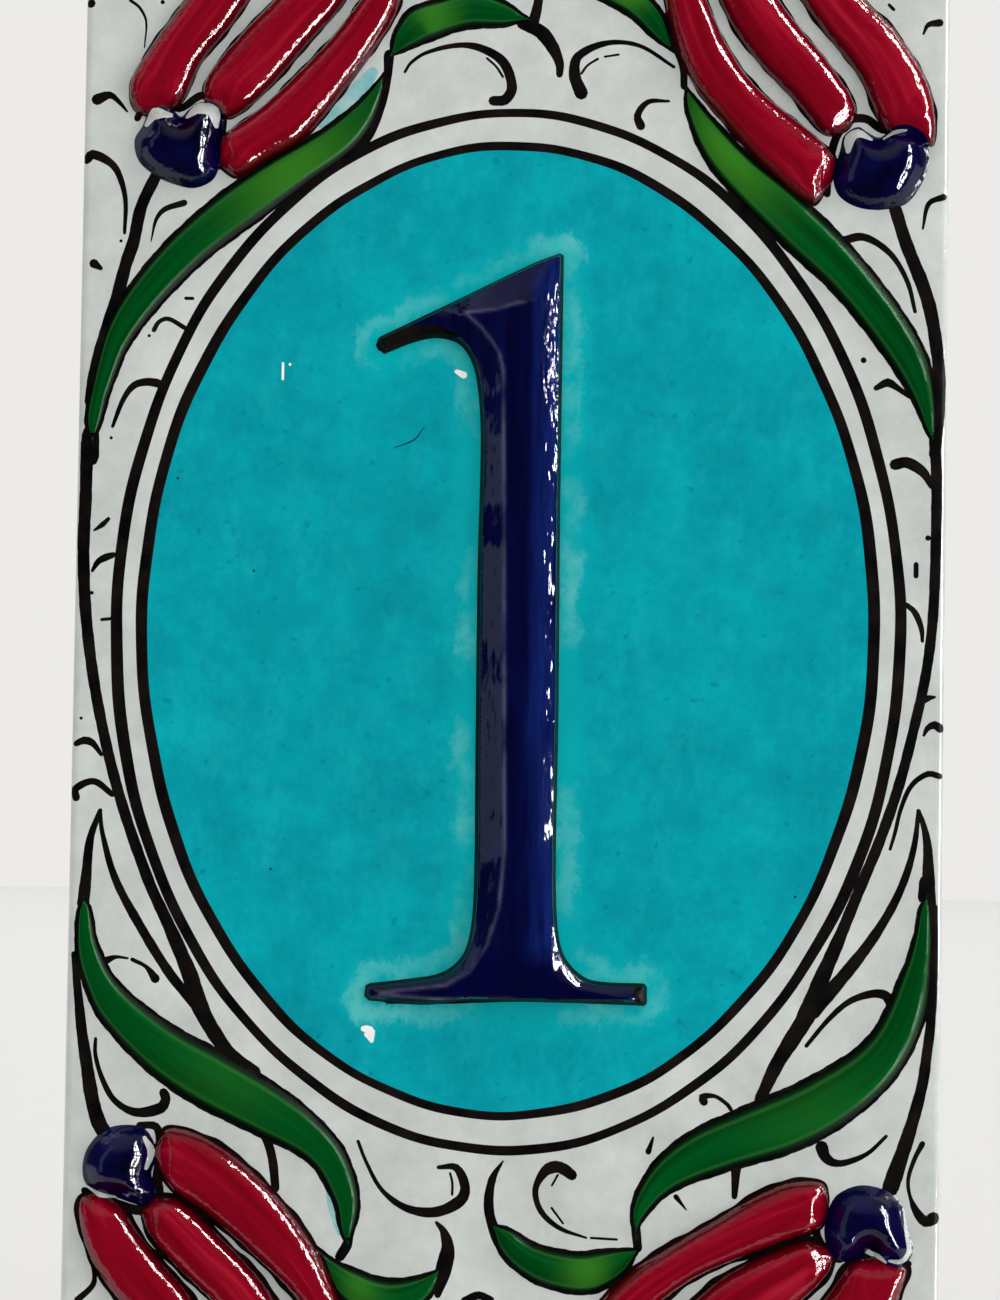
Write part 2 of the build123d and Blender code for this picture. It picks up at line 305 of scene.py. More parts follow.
# Brush lines: points, then widths along the stroke
LINES = (
    # stems
    (((-31.2, 38.7), (-32.4, 36.0), (-33.0, 33.0), (-33.6, 31.1), (-34.4, 27.9), (-35.3, 24.9),
      (-36.1, 21.8), (-36.5, 19.0)),
     (1.0, 1.1, 1.1, 1.0)),
    (((32.8, 36.8), (33.7, 34.0), (34.5, 32.0), (35.2, 30.3), (35.9, 28.1), (36.5, 24.7), (36.8, 21.5),
      (36.7, 18.5), (36.4, 15.5)),
     (1.1, 1.2, 1.1, 1.0)),
    (((-36.9, -28.5), (-36.65, -30.5), (-36.4, -32.5), (-36.1, -35.0), (-35.6, -38.0), (-35.1, -40.8),
      (-34.5, -42.8), (-33.9, -43.8)),
     (0.5, 0.8, 1.0, 1.2, 1.3)),
    (((36.8, -23.4), (36.8, -28.0), (36.5, -33.5), (36.2, -36.0), (35.9, -38.3), (35.3, -40.8),
      (34.6, -43.2), (33.9, -45.3), (33.2, -47.4)),
     (0.5, 0.6, 0.8, 0.9, 1.0, 1.2, 1.5)),
    # lines down both sides
    (((-36.7, 15.5), (-36.7, 11.0), (-36.8, 6.0), (-36.4, 0.0), (-35.3, -7.0), (-33.4, -14.5),
      (-30.7, -22.0), (-28.8, -26.0), (-27.0, -30.0), (-25.9, -33.1), (-24.1, -36.0), (-22.8, -37.3),
      (-21.2, -38.3)),
     (1.1, 1.1, 1.0, 0.95, 0.95, 1.0, 1.5, 1.0)),
    (((-36.4, 16.2), (-36.4, 14.2)), (1.5, 1.6)),
    (((36.4, 16.8), (36.6, 13.5), (36.6, 8.6), (36.4, 1.7), (35.9, -3.0), (35.1, -7.0), (33.7, -12.7),
      (32.0, -17.8), (30.3, -22.0), (28.7, -26.0), (27.0, -30.0), (25.8, -33.0), (24.6, -35.0),
      (23.4, -37.0), (22.0, -40.0)),
     (1.0, 0.95, 0.9, 0.9, 0.95, 1.0, 1.6, 1.0)),
    (((-34.9, -16.2), (-34.7, -18.0), (-33.5, -22.0), (-31.3, -26.0), (-28.7, -30.0), (-26.5, -32.6)),
     (0.3, 0.6, 0.8, 0.85, 0.9)),
    (((-34.9, -16.2), (-35.7, -18.6), (-36.0, -22.0), (-36.2, -24.2)), (0.4, 0.7, 0.9, 1.1)),
    (((35.3, -15.2), (35.0, -18.0), (34.3, -20.7), (33.2, -23.3), (31.6, -26.0), (29.6, -28.7),
      (26.4, -32.5)),
     (0.35, 0.65, 0.8, 1.1, 1.35)),
    (((35.3, -15.2), (35.8, -16.6), (36.1, -18.2), (36.2, -20.6), (36.3, -23.2)),
     (0.4, 0.6, 0.9, 1.1, 1.2)),
    (((35.9, -21.2), (35.8, -22.6)), (1.0, 1.0)),
    # joints between leaves and petals
    (((-11.2, 49.6), (-11.3, 47.5), (-11.6, 45.6), (-12.4, 43.2), (-13.4, 41.6), (-14.5, 40.8)),
     (0.9, 0.6, 0.6, 0.8)),
    (((12.9, 53.5), (13.6, 51.0), (14.3, 49.0), (14.4, 47.2)), (0.6, 0.8, 0.6)),
    (((-20.2, -43.8), (-19.8, -44.9), (-19.5, -46.3), (-19.3, -48.2)), (0.8, 0.75)),
    (((20.0, -45.8), (19.95, -47.2), (19.9, -48.3)), (0.9, 0.5)),
    (((11.5, -51.0), (11.7, -52.8)), (0.8, 0.8)),
    (((-12.8, -51.8), (-13.1, -52.9), (-13.7, -53.9)), (0.5, 0.9, 0.9)),
    (((0.3, 52.5), (1.9, 51.8), (3.0, 50.4), (3.6, 49.0), (3.6, 48.1)), (1.0, 1.3, 1.0, 0.6)),
    (((1.2, 52.4), (1.5, 53.5), (1.7, 54.6)), (1.0, 0.8)),
    (((-5.5, -50.9), (-4.9, -51.6), (-4.5, -53.0), (-4.8, -54.7), (-5.3, -57.0)),
     (0.3, 0.9, 1.4, 1.3, 0.6)),
    (((0.1, -45.6), (-0.7, -46.9), (-1.05, -48.5), (-1.0, -50.0), (-0.5, -51.6), (0.0, -52.6)),
     (0.15, 0.7, 0.85, 0.9, 1.1)),
    # crevices between calyxes and petals
    (((-32.9, 43.7), (-32.2, 45.0), (-30.8, 45.4), (-29.3, 44.6), (-27.3, 45.8), (-25.6, 45.0),
      (-25.5, 42.6), (-25.7, 39.6)),
     (0.6, 0.7, 0.6)),
    (((26.9, 38.0), (27.0, 39.8), (27.5, 42.6), (28.6, 44.4), (30.2, 44.6), (31.6, 43.7), (33.4, 43.6),
      (35.4, 42.6)),
     (0.6, 0.8, 0.6)),
    (((-31.0, -43.0), (-29.6, -43.1), (-29.2, -44.4), (-29.2, -45.8), (-29.4, -47.6), (-29.4, -49.2),
      (-30.8, -50.2), (-33.0, -49.6), (-35.6, -48.6)),
     (0.6, 1.0, 0.6)),
    (((27.6, -47.8), (27.2, -49.4), (27.0, -51.6), (28.6, -53.4), (30.2, -53.0), (33.2, -54.2),
      (34.8, -53.8)),
     (0.6, 0.8, 0.6)),
    # curls round the top left tulip
    (((-37.1, 53.7),), (0.8,)),
    (((-33.7, 54.0), (-32.9, 53.4), (-32.3, 52.2), (-32.4, 49.9)), (0.3, 0.12)),
    (((-30.9, 53.9),), (0.4,)),
    (((-36.4, 45.3), (-35.3, 45.7), (-34.5, 45.1), (-33.8, 44.3)), (1.0, 0.5, 0.2)),
    (((-37.2, 40.1), (-36.7, 40.5), (-35.3, 39.9), (-34.5, 39.0), (-33.8, 36.7), (-33.8, 33.7)),
     (0.9, 0.5, 0.3)),
    (((-34.1, 33.0),), (0.3,)),
    (((-28.7, 36.4), (-30.4, 35.8), (-31.1, 34.9), (-31.5, 33.0)), (0.6, 0.4, 0.1)),
    (((-36.4, 31.0), (-35.8, 30.6)), (0.8, 0.4)),
    (((-28.4, 28.1), (-27.8, 28.1)), (0.3, 0.3)),
    (((-31.1, 25.3), (-30.7, 26.0), (-29.9, 26.3), (-28.4, 25.5)), (0.4, 0.4)),
    (((-31.5, 24.8),), (0.3,)),
    (((-30.7, 20.7), (-31.6, 20.8), (-32.7, 20.5), (-33.6, 19.3), (-34.5, 16.9)), (0.8, 0.5, 0.3)),
    (((-34.6, 15.9),), (0.3,)),
    # curls in the middle of the top
    (((-9.8, 48.1), (-9.3, 48.9), (-8.0, 49.8), (-5.3, 50.5), (-3.3, 50.3), (-1.3, 49.1), (-0.5, 46.9),
      (-1.1, 45.8), (-2.1, 45.7)),
     (0.25, 0.35, 0.5, 0.8, 0.9, 0.9)),
    (((-2.7, 49.4), (-1.9, 48.7), (-1.3, 47.8)), (0.22, 0.22)),
    (((5.5, 46.5), (4.9, 48.1), (5.2, 49.7), (7.7, 50.9), (10.5, 50.7), (13.5, 48.9)),
     (1.2, 0.9, 0.6, 0.4, 0.35, 0.3)),
    (((5.5, 48.2), (6.0, 48.9), (6.9, 49.5)), (0.22, 0.22)),
    (((7.5, 49.7), (8.7, 49.9)), (0.2, 0.2)),
    (((10.7, 43.7), (10.4, 44.6), (11.3, 45.8), (13.1, 45.9)), (0.8, 0.5, 0.25)),
    # curls round the top right tulip
    (((32.1, 54.6), (32.5, 54.2)), (0.3, 0.3)),
    (((36.5, 53.1), (35.5, 52.9), (35.1, 52.1)), (0.7, 0.2)),
    (((37.0, 37.9), (35.7, 37.3), (35.2, 35.1)), (0.6, 0.2)),
    (((28.1, 33.9), (30.1, 34.3), (32.4, 32.9), (33.9, 30.5), (34.6, 27.9)), (0.8, 0.5, 0.35)),
    (((30.2, 23.6),), (0.54,)),
    (((31.3, 21.2), (32.3, 21.7), (32.9, 21.4), (34.2, 20.5)), (0.45, 0.8, 0.5, 0.4)),
    # ticks and hooks down the left side
    (((-35.9, 7.9), (-35.2, 8.4), (-34.7, 8.9)), (0.2, 0.5, 0.35)),
    (((-36.0, 4.4), (-35.5, 5.2), (-34.8, 5.6), (-34.2, 5.8)), (0.3, 0.5, 0.65, 0.5)),
    (((-36.0, 2.5),), (0.35,)),
    (((-35.1, 0.2), (-34.3, 0.3)), (0.3, 0.3)),
    (((-36.7, -8.3),), (0.3,)),
    (((-37.1, -10.5), (-36.4, -10.2), (-35.7, -10.4), (-34.9, -11.4)), (0.5, 0.75, 0.5, 0.35)),
    (((-37.0, -15.1), (-37.1, -14.4), (-35.5, -13.7), (-33.9, -14.8)), (0.7, 0.5)),
    # ticks and hooks down the right side
    (((33.0, 14.6), (34.0, 14.8), (35.4, 14.0), (36.2, 12.8)), (1.0, 0.95, 0.6)),
    (((35.9, 8.3),), (0.5,)),
    (((34.9, 6.0), (34.9, 5.0)), (0.45, 0.45)),
    (((34.1, 2.5), (34.8, 1.9), (35.4, 0.5), (35.5, -0.6)), (0.45, 0.55, 0.5, 0.3)),
    (((35.4, -5.9), (36.0, -5.5), (36.6, -5.4)), (0.5, 0.6, 0.25)),
    (((37.1, -8.1), (36.6, -7.8), (36.0, -8.1), (35.7, -8.7)), (0.75, 0.7, 0.5, 0.25)),
    (((37.1, -12.2), (36.1, -12.0), (34.7, -13.0), (33.8, -15.0), (33.3, -17.1), (32.9, -18.5)),
     (0.55, 0.4, 0.3)),
    # curls round the bottom left tulip
    (((-34.1, -29.0), (-33.3, -28.7), (-32.3, -28.8)), (0.7, 0.3, 0.2)),
    (((-31.9, -28.9), (-30.7, -29.5), (-29.9, -30.5)), (0.35, 0.35, 0.8)),
    (((-34.9, -35.7), (-34.9, -37.0), (-34.3, -39.0), (-33.2, -40.9), (-31.4, -41.9), (-29.2, -41.5),
      (-28.8, -40.7), (-29.0, -40.2)),
     (0.3, 0.4, 0.5, 0.6, 1.0, 0.8)),
    (((-35.0, -54.2), (-34.6, -55.6), (-34.7, -56.6), (-36.0, -57.9)), (0.3, 0.6)),
    # curls in the middle of the bottom
    (((-12.3, -44.1), (-11.6, -45.8), (-10.2, -48.2), (-8.1, -49.7), (-5.6, -50.0), (-3.5, -49.0),
      (-3.1, -47.9), (-3.9, -46.2), (-5.4, -46.2)),
     (0.3, 0.32, 0.4, 0.65, 0.9, 1.0, 0.8, 0.35)),
    (((-4.4, -46.7), (-4.2, -47.5), (-4.2, -48.5)), (0.22, 0.22)),
    (((-3.0, -57.5), (-1.8, -57.0), (-0.8, -57.4)), (0.7, 0.7)),
    (((6.0, -46.7), (5.3, -46.2), (4.6, -46.0), (3.7, -46.4), (2.9, -48.0), (3.4, -49.8), (5.0, -51.2),
      (7.3, -52.0)),
     (0.9, 1.1, 0.6, 0.5, 0.5, 0.35, 0.2)),
    (((7.7, -52.0), (9.9, -52.1)), (0.22, 0.22)),
    (((4.8, -46.7), (4.3, -47.6)), (0.2, 0.2)),
    (((4.3, -49.5), (5.3, -50.8)), (0.2, 0.2)),
    (((12.9, -43.4), (12.5, -44.6)), (0.2, 0.55)),
    (((17.2, -40.3), (17.0, -39.9), (18.1, -39.8), (19.2, -40.5), (19.5, -40.9)), (0.7, 0.35, 0.35)),
    (((14.9, -48.4), (15.8, -49.5)), (0.45, 0.12)),
    # curls round the bottom right tulip
    (((33.3, -31.9), (32.6, -31.0), (31.4, -30.9), (29.5, -31.6), (27.8, -33.1), (25.9, -35.4)),
     (1.0, 0.6, 0.45, 0.35)),
    (((27.3, -44.0), (27.6, -44.8), (28.3, -45.3), (29.3, -45.3), (31.2, -44.5), (32.8, -43.0)),
     (1.1, 0.6, 0.4, 0.3)),
    (((35.9, -43.6), (35.2, -45.0), (34.7, -46.9), (35.2, -48.9), (36.2, -50.2), (36.9, -49.9)),
     (0.5, 0.4, 0.35, 0.3, 0.8, 1.1)),
)

# White chips and painted glints in the turquoise, then specks and a hair burnt into it and the numeral's
# black ends
CHIPS_AND_GLINTS = (
    (((-19.9, 22.6), (-19.9, 21.2)), (0.2, 0.2)),
    (((-19.3, 22.5),), (0.25,)),
    # This one and the next: painted glints, white on bumps in the glaze
    (((-4.9, 22.1), (-4.3, 21.8)), (0.4, 0.6)),
    (((-12.0, -34.5), (-11.6, -34.6), (-11.3, -35.5)), (0.5, 1.0, 0.4)),
)
SPECKS = (
    (((-28.8, 12.5),), (0.22,)),
    (((-22.1, 4.6),), (0.2,)),
    (((-20.2, -21.0),), (0.22,)),
    (((24.8, -22.7),), (0.22,)),
    (((-10.2, 15.4), (-9.4, 15.7), (-8.4, 16.2), (-7.6, 17.3)), (0.06, 0.12, 0.06)),
    (((-11.3, 24.3), (-9.2, 25.2), (-7.0, 25.5), (-5.0, 25.1)), (1.3, 1.2, 0.9, 0.4)),
    (((11.5, -31.0), (11.6, -31.5)), (1.0, 1.0)),
    (((-10.0, -32.1), (-6.0, -32.1), (2.0, -31.8), (10.0, -31.9)), (0.5, 0.4, 0.5)),
)

# Pale turquoise left beside some leaves: points, then widths along the stroke
WASHES = (
    (((-17.0, 43.3), (-14.5, 45.6), (-12.6, 48.0)), (0.5, 1.8, 1.0)),
    (((35.5, -23.4), (35.3, -25.6), (34.9, -27.6)), (0.3, 0.6, 0.2)),
    (((-15.0, -47.8), (-14.3, -50.4), (-13.8, -52.0)), (0.2, 0.6, 0.3)),
)

WHITE, TURQUOISE, COBALT, RED, GREEN, LINE, WASH, NUMERAL, BISCUIT, CHIP_AND_GLINT = range(10)


def straight(start, stop, step):
    """Points about a step apart on a straight line."""
    count = max(2, math.ceil(np.linalg.norm(stop - start) / step) + 1)
    return np.linspace(start, stop, count)


def smooth(points, step, is_loop=False):
    """Points about a step apart on a smooth curve through the given ones."""
    points = np.array(points, float)
    if len(points) < 3:
        return straight(points[0], points[-1], step)
    if is_loop:
        padded = np.vstack([points[-1], points, points[:2]])
    else:
        padded = np.vstack([2 * points[0] - points[1], points, 2 * points[-1] - points[-2]])
    runs = []
    for before, start, stop, after in zip(padded, padded[1:], padded[2:], padded[3:]):
        chord = np.linalg.norm(stop - start)
        leave = (stop - before) * chord / (chord + np.linalg.norm(start - before))
        arrive = (after - start) * chord / (chord + np.linalg.norm(after - stop))
        t = np.linspace(0, 1, max(2, math.ceil(chord / step)), endpoint=False)[:, None]
        runs.append(
            (2 * t**3 - 3 * t**2 + 1) * start
            + (t**3 - 2 * t**2 + t) * leave
            + (3 * t**2 - 2 * t**3) * stop
            + (t**3 - t**2) * arrive
        )
    if not is_loop:
        runs.append(points[-1:])
    return np.vstack(runs)


def normals_of(line):
    """Unit normals to the left of a line of points."""
    along = np.gradient(line, axis=0)
    along /= np.linalg.norm(along, axis=1, keepdims=True) + 1e-12
    return np.stack([-along[:, 1], along[:, 0]], axis=1)


def length_along(line):
    """How far along its line each point is."""
    return np.concatenate([[0], np.cumsum(np.linalg.norm(np.diff(line, axis=0), axis=1))])


def unsteady(line, amplitude, pace=1.0):
    """How far a brush strays sideways along a line, the same on every run."""
    run = length_along(line) * pace + line[0, 0] * STRAY_START[0] + line[0, 1] * STRAY_START[1]
    return amplitude * sum(share * np.sin(run * speed + start) for share, speed, start in STRAY_WAVES)


def two_sided(motif):
    """The two sides of a petal or leaf, each a line of points from its first end to its last."""
    first, last, one_side, other_side = motif[:4]
    return [smooth((first, *side, last), OUTLINE_STEP) for side in (one_side, other_side)]


def spread(sides, amount, wobble=WOBBLE, pace=1.0):
    """Both sides moved outwards by an amount that fades out at the two ends."""
    moved = []
    middle = (sides[0][len(sides[0]) // 2] + sides[1][len(sides[1]) // 2]) / 2
    for side in sides:
        away = normals_of(side)
        centre = len(side) // 2
        if np.dot(away[centre], side[centre] - middle) < 0:
            away = -away
        run = length_along(side)
        fade = np.clip(np.minimum(run, run[-1] - run) / (FADE_LENGTH * abs(amount) + 1e-9), 0, 1)
        moved.append(side + away * ((amount + unsteady(side, wobble, pace)) * fade)[:, None])
    return moved


def loop_of(sides):
    """One closed outline from two sides that share both ends."""
    return np.vstack([sides[0], sides[1][-2:0:-1]])


def ellipse(half_width, half_height):
    """A hand-drawn ellipse round the middle of the oval field."""
    count = int(math.pi * (half_width + half_height) / RING_STEP)
    turn = np.linspace(0, 2 * math.pi, count, endpoint=False)
    waves = np.sin(5 * turn + half_width) + np.sin(13 * turn + half_height) + 0.6 * np.sin(31 * turn)
    u = OVAL_CENTRE[0] + (half_width + RING_WOBBLE * waves) * np.cos(turn)
    v = OVAL_CENTRE[1] + (half_height + RING_WOBBLE * waves) * np.sin(turn)
    return np.stack([u, v], axis=1)


def edge_distance(points):
    """Distance of each point inside the tile's outline, whose corners are rounded."""
    past = np.abs(points) - (TILE_HALF - PLAN_CORNER_RADIUS)
    outside = np.linalg.norm(np.maximum(past, 0), axis=1)
    return PLAN_CORNER_RADIUS - outside - np.minimum(past.max(axis=1), 0)


def tile_outline(inset=0.0):
    """The tile's outline with rounded corners, anticlockwise."""
    radius = PLAN_CORNER_RADIUS - inset
    points = []
    for quarter, corner in enumerate(CORNERS):
        centre = np.array(corner) * (TILE_HALF - PLAN_CORNER_RADIUS)
        for turn in np.linspace(0, math.pi / 2, CORNER_POINTS) + quarter * math.pi / 2:
            points.append(centre + radius * np.array([math.cos(turn), math.sin(turn)]))
    points.append(points[0])
    return np.vstack([straight(start, stop, RIM_STEP)[:-1] for start, stop in zip(points, points[1:])])


def inside(points, loop):
    """Which points lie inside a closed outline."""
    found = np.zeros(len(points), bool)
    near = np.all((points > loop.min(axis=0)) & (points < loop.max(axis=0)), axis=1)
    u, v = points[near].T
    crossings = np.zeros(len(u), int)
    for (u0, v0), (u1, v1) in zip(loop, np.roll(loop, -1, axis=0)):
        if v0 != v1:
            spans = (v0 > v) != (v1 > v)
            crossings += spans & (u < (u1 - u0) * (v - v0) / (v1 - v0) + u0)
    found[near] = crossings % 2 == 1
    return found


def nearest_on(points, line):
    """Distance from each point to a line of points, and the length along the line to the nearest place."""
    nearest = np.full(len(points), np.inf)
    place = np.zeros(len(points))
    for start, stop, run in zip(line, line[1:], length_along(line)):
        along = stop - start
        share = np.clip((points - start) @ along / max(along @ along, 1e-12), 0, 1)
        distance = np.linalg.norm(points - start - share[:, None] * along, axis=1)
        closer = distance < nearest
        nearest[closer] = distance[closer]
        place[closer] = run + share[closer] * np.linalg.norm(along)
    return nearest, place


def distance_to(points, line):
    """Distance from each point to a line of points."""
    return nearest_on(points, line)[0]


def closed(loop):
    """A loop with its first point repeated at its end."""
    return np.vstack([loop, loop[:1]])


def on_tile(points):
    """Points kept inside the tile's outline."""
    limit = TILE_HALF - PAINT_MARGIN
    return np.clip(points, -limit, limit)


def lattice(step):
    """A triangular lattice of points over the tile."""
    half_width, half_height = TILE_HALF
    rows = []
    for row, v in enumerate(np.arange(-half_height, half_height, step * ROW_PITCH)):
        u = np.arange(-half_width + (row % 2) * step / 2, half_width, step)
        rows.append(np.stack([u, np.full(len(u), v)], axis=1))
    return np.vstack(rows)


class Drawing:
    """Outlines in painting order, with loose points between them, for one surface of the tile."""

    def __init__(self, outline, ground):
        self.coords = []
        self.edges = []
        self.regions = []
        self.fill(outline, ground)

    def fill(self, loop, paint):
        """Paint the inside of a closed outline."""
        self.crease(loop)
        self.regions.append((loop, paint))

    def crease(self, loop):
        """Make the triangles follow a closed line."""
        first = len(self.coords)
        self.scatter(loop)
        places = list(range(first, len(self.coords)))
        self.edges.extend(zip(places, places[1:] + places[:1]))

    def scatter(self, points):
        """Add loose points."""
        self.coords.extend(points)

    def strokes(self, drawn, paint):
        """Paint brush strokes, each given by its points and its widths."""
        for points, widths in drawn:
            if len(points) == 1:
                self.dot(np.array(points[0]), widths[0] / 2, paint)
            else:
                self.stroke(smooth(points, STROKE_STEP), widths, paint)

    def stroke(self, line, widths, paint):
        """Paint one brush stroke with round ends."""
        run = length_along(line)
        half = np.interp(run / run[-1], np.linspace(0, 1, len(widths)), widths) / 2
        half = half * (1 + unsteady(line, WOBBLE))
        side = normals_of(line) * half[:, None]
        left = on_tile(line + side)
        right = on_tile(line - side)
        self.crease(np.vstack([left, right[::-1]]))
        for i in range(len(line) - 1):
            self.regions.append((np.array([left[i], right[i], right[i + 1], left[i + 1]]), paint))
        self.dot(line[0], half[0], paint)
        self.dot(line[-1], half[-1], paint)

    def dot(self, centre, radius, paint):
        """Paint a small round dot."""
        turn = np.linspace(0, 2 * math.pi, DOT_SIDES, endpoint=False)
        self.fill(on_tile(centre + radius * np.stack([np.cos(turn), np.sin(turn)], axis=1)), paint)

    def triangulate(self):
        """Triangles that follow every outline, and the paint on each of them."""
        coords = [Vector(p) for p in self.coords]
        result = delaunay_2d_cdt(coords, self.edges, [], 0, MERGE_DISTANCE, False)
        points = np.array([tuple(p) for p in result[0]])
        triangles = np.array(result[2])
        centres = points[triangles].mean(axis=1)
        paints = np.zeros(len(triangles), int)
        for loop, paint in self.regions:
            paints[inside(centres, loop)] = paint
        return points, triangles, paints


class Relief:
    """What is known about points of the front: their height, and what the glazes need to know."""

    def __init__(self, count):
        self.height = np.zeros(count)
        self.inset = np.zeros(count)
        self.flow = np.zeros((count, 3))
        self.edge = np.ones(count)
        self.patch = np.zeros(count)
        self.side = np.zeros(count)
        self.brush = np.zeros(count)


def relief_forms():
    """Every raised form: its closed outline and the function that measures points inside it."""
    forms = []
    for number, motif in enumerate(PETALS):
        sides = two_sided(motif)
        forms.append((loop_of(sides), pillow(sides, PETAL_CROWN, PETAL_SWELL, number)))
    for number, motif in enumerate(LEAVES):
        sides = spread(two_sided(motif), -LEAF_LINE, 0.0)
        forms.append((loop_of(sides), pillow(sides, LEAF_CROWN, LEAF_SWELL, number, motif[4])))
    for outline, _ in CALYXES:
        loop = smooth(outline, OUTLINE_STEP, is_loop=True)
        forms.append((loop, dome(loop)))
    loop = numeral_outline()
    forms.append((loop, bevelled(loop)))
    return forms


def pillow(sides, crown, swell, number, patch=(0.5, 0.0)):
    """Measure a rounded form between two sides, lower where it narrows."""
    length = length_along(sides[0])[-1]
    full_width, flatness, roundness = swell

    def measure(points):
        one, run = nearest_on(points, sides[0])
        other = distance_to(points, sides[1])
        width = np.maximum(one + other, 1e-6)
        across = (one - other) / width
        rise = np.maximum(0, 1 - np.abs(across) ** flatness) ** roundness
        found = Relief(len(points))
        found.height = crown * rise * np.minimum(1, width / full_width) ** NARROWING
        found.inset = np.minimum(one, other)
        apart = np.full(len(points), number * STREAKS_APART)
        found.flow = np.stack([across, run * STREAKS_ALONG, apart], axis=1)
        found.edge = np.abs(across)
        found.patch = patch[1] * np.exp(-(((run / length - patch[0]) / PATCH_LENGTH) ** 2))
        return found

    return measure


def dome(loop):
    """Measure a calyx, which rises all round its edge."""

    def measure(points):
        found = Relief(len(points))
        found.inset = distance_to(points, closed(loop))
        found.height = CALYX_CROWN * np.sin(np.minimum(1, found.inset / CALYX_ROUNDING) * math.pi / 2)
        return found

    return measure


def numeral_outline():
    """The outline of the numeral."""
    return np.vstack([smooth(run, OUTLINE_STEP) for run in NUMERAL_RUNS])


def numeral_ridge():
    """The line round the numeral's crown."""
    ends = zip(NUMERAL_RIDGE, NUMERAL_RIDGE[1:] + NUMERAL_RIDGE[:1])
    return np.vstack([smooth(pair, OUTLINE_STEP)[:-1] for pair in ends])


def bevelled(loop):
    """Measure the numeral: a steep foot, then a bevel that is flat on its left and rounded on its right."""
    ridge = numeral_ridge()

    def measure(points):
        u, v = points.T
        found = Relief(len(points))
        found.inset = distance_to(points, closed(loop))
        to_ridge = distance_to(points, closed(ridge))
        to_crown = np.where(inside(points, ridge), 0, to_ridge)
        foot = np.minimum(1, found.inset / NUMERAL_FOOT_WIDTH)
        past_foot = np.maximum(0, found.inset - NUMERAL_FOOT_WIDTH)
        slope = past_foot / np.maximum(past_foot + to_crown, 1e-6)
        low = 1 - SERIF_DROP * np.clip((np.abs(u) - SERIF_START) / SERIF_BLEND, 0, 1)
        roundness = np.clip(np.maximum(u - ROUND_RIGHT_OF, ROUND_BELOW - v) / ROUND_BLEND, 0, 1)
        slope += ROUND_SHARE * roundness * (np.sin(slope * math.pi / 2) - slope)
        left_wall = np.interp(v, *zip(*NUMERAL_LEFT_WALL))
        right_wall = np.interp(v, *zip(*NUMERAL_RIGHT_WALL))
        wall = low * (left_wall + roundness * (right_wall - left_wall))
        found.height = wall * foot + (low * NUMERAL_CROWN - wall) * slope
        note_painted_light_and_brush(found, to_ridge, u, v)
        return found

    return measure


def note_painted_light_and_brush(found, to_ridge, u, v):
    """Painted highlight on the numeral's left ridge, painted sheen on its right, and its brush marks."""
    # Painted highlight: colour paled along the left ridge
    found.patch = np.exp(-((to_ridge / RIDGE_LINE) ** 2)) * np.clip(RIDGE_LEFT_OF - u, 0, 1)
    # Painted sheen: lighter colour on the right, toward the window; it also guides the brush marks
    across = np.clip((u - PALE_RIGHT_OF) / PALE_BLEND, LEFT_PALENESS, 1)
    found.side = across * np.clip((v - PALE_ABOVE) / PALE_BLEND, 0, 1)
    found.brush = np.maximum(found.side, LEFT_BRUSH) * (1 - LOWER_BRUSH_LOSS * (v < LOWER_BRUSH) * (u > 0))


def paint_front(forms):
    """The painted front as a drawing."""
    drawing = Drawing(tile_outline(), WHITE)
    for angle in ARRIS_ANGLES:
        drawing.crease(tile_outline(ARRIS_RADIUS * (1 - math.sin(math.radians(angle)))))
    for (outer, inner), field in ((OUTER_RING, WHITE), (INNER_RING, TURQUOISE)):
        drawing.fill(ellipse(*outer), LINE)
        drawing.fill(ellipse(*inner), field)
    drawing.strokes(LINES, LINE)
    drawing.strokes(WASHES, WASH)
    paint_motifs(drawing)
    # White chips, and painted glints on bumps in the glaze
    drawing.strokes(CHIPS_AND_GLINTS, CHIP_AND_GLINT)
    numeral = numeral_outline()
    drawing.fill(numeral, LINE)
    drawing.fill(numeral + normals_of(numeral) * -BLACK_FOOT_SHARE * NUMERAL_FOOT_WIDTH, NUMERAL)
    drawing.strokes(SPECKS, LINE)
    add_detail(drawing, forms, numeral)
    return drawing


def paint_motifs(drawing):
    """Paint the leaves, the petals and the calyxes over the brush lines."""
    for motif in LEAVES:
        sides = two_sided(motif)
        drawing.fill(on_tile(loop_of(spread(sides, LEAF_OVERLAP))), LINE)
        drawing.fill(loop_of(spread(sides, -LEAF_LINE, LEAF_WOBBLE)), GREEN)
    for motif in PETALS:
        sides = two_sided(motif)
        line = LOWER_PETAL_LINE if motif[0][1] < 0 else PETAL_LINE
        drawing.fill(loop_of(spread(sides, line, PETAL_WOBBLE, PETAL_PACE)), LINE)
        drawing.fill(loop_of(sides), RED)
    for outline, rims_and_highlights in CALYXES:
        drawing.fill(smooth(outline, OUTLINE_STEP, is_loop=True), COBALT)
        # White rims, one of them a painted highlight
        drawing.strokes(rims_and_highlights, WHITE)


